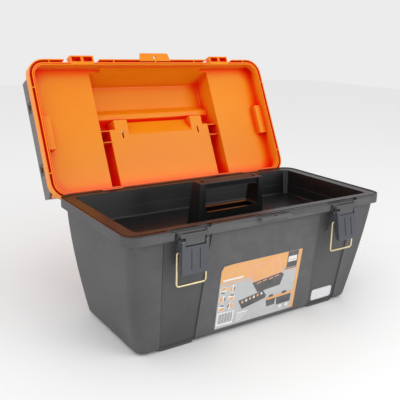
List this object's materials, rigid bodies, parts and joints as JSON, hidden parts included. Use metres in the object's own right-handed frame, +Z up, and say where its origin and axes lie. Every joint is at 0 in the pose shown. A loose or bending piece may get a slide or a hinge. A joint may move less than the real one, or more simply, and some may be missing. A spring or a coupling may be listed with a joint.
{
  "type": "toolbox with tray",
  "caption": "Plastic toolbox with a hinged lid, lift-out tray with a handle, over-centre wire latches, lid organisers with smoked covers and a folding carry handle.",
  "frame": {"origin": "centre of the standing pad, on the floor", "axes": "+X along the length to the right, -Y out of the front with the latches, +Z up"},
  "size_m": [0.503, 0.4438, 0.4217],
  "materials": {
    "black_plastic": "moulded, fine grain",
    "orange_plastic": "moulded, glossy",
    "lever_plastic": "moulded, smooth",
    "handle_plastic": "moulded, fine grain",
    "smoked_plastic": "smoked, clear moulding",
    "clip_plastic": "moulded",
    "label_paper": "printed adhesive paper",
    "badge_plastic": "smooth",
    "pin_steel": "drawn",
    "latch_wire": "yellow passivated steel wire"
  },
  "bodies": {
    "tub": {"tub": "black_plastic", "front_label": "label_paper", "badge_plate": "badge_plastic", "latch_pin_left": "pin_steel", "latch_pin_right": "pin_steel", "lid_hinge_pin_left": "pin_steel", "lid_hinge_pin_right": "pin_steel"},
    "tray": {"tray": "black_plastic"},
    "lever_left": {"latch_lever_left": "lever_plastic"},
    "lever_right": {"latch_lever_right": "lever_plastic"},
    "bail_left": {"latch_bail_left": "latch_wire"},
    "bail_right": {"latch_bail_right": "latch_wire"},
    "lid": {"lid_shell": "orange_plastic", "organiser_grid_left": "orange_plastic", "organiser_grid_right": "orange_plastic"},
    "carry_handle": {"carry_handle": "handle_plastic"},
    "cover_left": {"organiser_cover_left": "smoked_plastic"},
    "cover_right": {"organiser_cover_right": "smoked_plastic"},
    "clip_left_front": {"cover_clip_left_front": "clip_plastic"},
    "clip_left_rear": {"cover_clip_left_rear": "clip_plastic"},
    "clip_right_front": {"cover_clip_right_front": "clip_plastic"},
    "clip_right_rear": {"cover_clip_right_rear": "clip_plastic"}
  },
  "joints": [
    {"name": "lid_hinge", "type": "hinge", "parent": "tub", "child": "lid", "pos_m": [0, 0.1255, 0.1908], "axis": [1, 0, 0], "range_deg": [0, 116]},
    {"name": "tray_lift", "type": "slide", "parent": "tub", "child": "tray", "axis": [0, 0, -1], "range_m": [-0.09, 0]},
    {"name": "lever_left", "type": "hinge", "parent": "tub", "child": "lever_left", "pos_m": [-0.1495, -0.128, 0.182], "axis": [1, 0, 0], "range_deg": [-63, 2]},
    {"name": "bail_left", "type": "hinge", "parent": "lever_left", "child": "bail_left", "pos_m": [-0.1495, -0.12552, 0.1669], "axis": [-1, 0, 0], "range_deg": [0, 182]},
    {"name": "lever_right", "type": "hinge", "parent": "tub", "child": "lever_right", "pos_m": [0.1495, -0.128, 0.182], "axis": [1, 0, 0], "range_deg": [-53, 12]},
    {"name": "bail_right", "type": "hinge", "parent": "lever_right", "child": "bail_right", "pos_m": [0.1495, -0.12818, 0.1667], "axis": [-1, 0, 0], "range_deg": [0, 192]},
    {"name": "carry_handle_swing", "type": "hinge", "parent": "lid", "child": "carry_handle", "pos_m": [0, 0.22427, 0.27058], "axis": [1, 0, 0], "range_deg": [-26, 64]},
    {"name": "cover_left", "type": "hinge", "parent": "lid", "child": "cover_left", "pos_m": [-0.139, 0.22443, 0.27273], "axis": [0, -0.4384, -0.8988], "range_deg": [0, 92]},
    {"name": "clip_left_front", "type": "hinge", "parent": "cover_left", "child": "clip_left_front", "pos_m": [-0.248, 0.23123, 0.33116], "axis": [0, 0.4384, 0.8988], "range_deg": [0, 35]},
    {"name": "clip_left_rear", "type": "hinge", "parent": "cover_left", "child": "clip_left_rear", "pos_m": [-0.248, 0.18257, 0.23139], "axis": [0, 0.4384, 0.8988], "range_deg": [0, 35]},
    {"name": "cover_right", "type": "hinge", "parent": "lid", "child": "cover_right", "pos_m": [0.139, 0.22443, 0.27273], "axis": [0, 0.4384, 0.8988], "range_deg": [0, 92]},
    {"name": "clip_right_front", "type": "hinge", "parent": "cover_right", "child": "clip_right_front", "pos_m": [0.248, 0.23123, 0.33116], "axis": [0, -0.4384, -0.8988], "range_deg": [0, 35]},
    {"name": "clip_right_rear", "type": "hinge", "parent": "cover_right", "child": "clip_right_rear", "pos_m": [0.248, 0.18257, 0.23139], "axis": [0, -0.4384, -0.8988], "range_deg": [0, 35]}
  ]
}
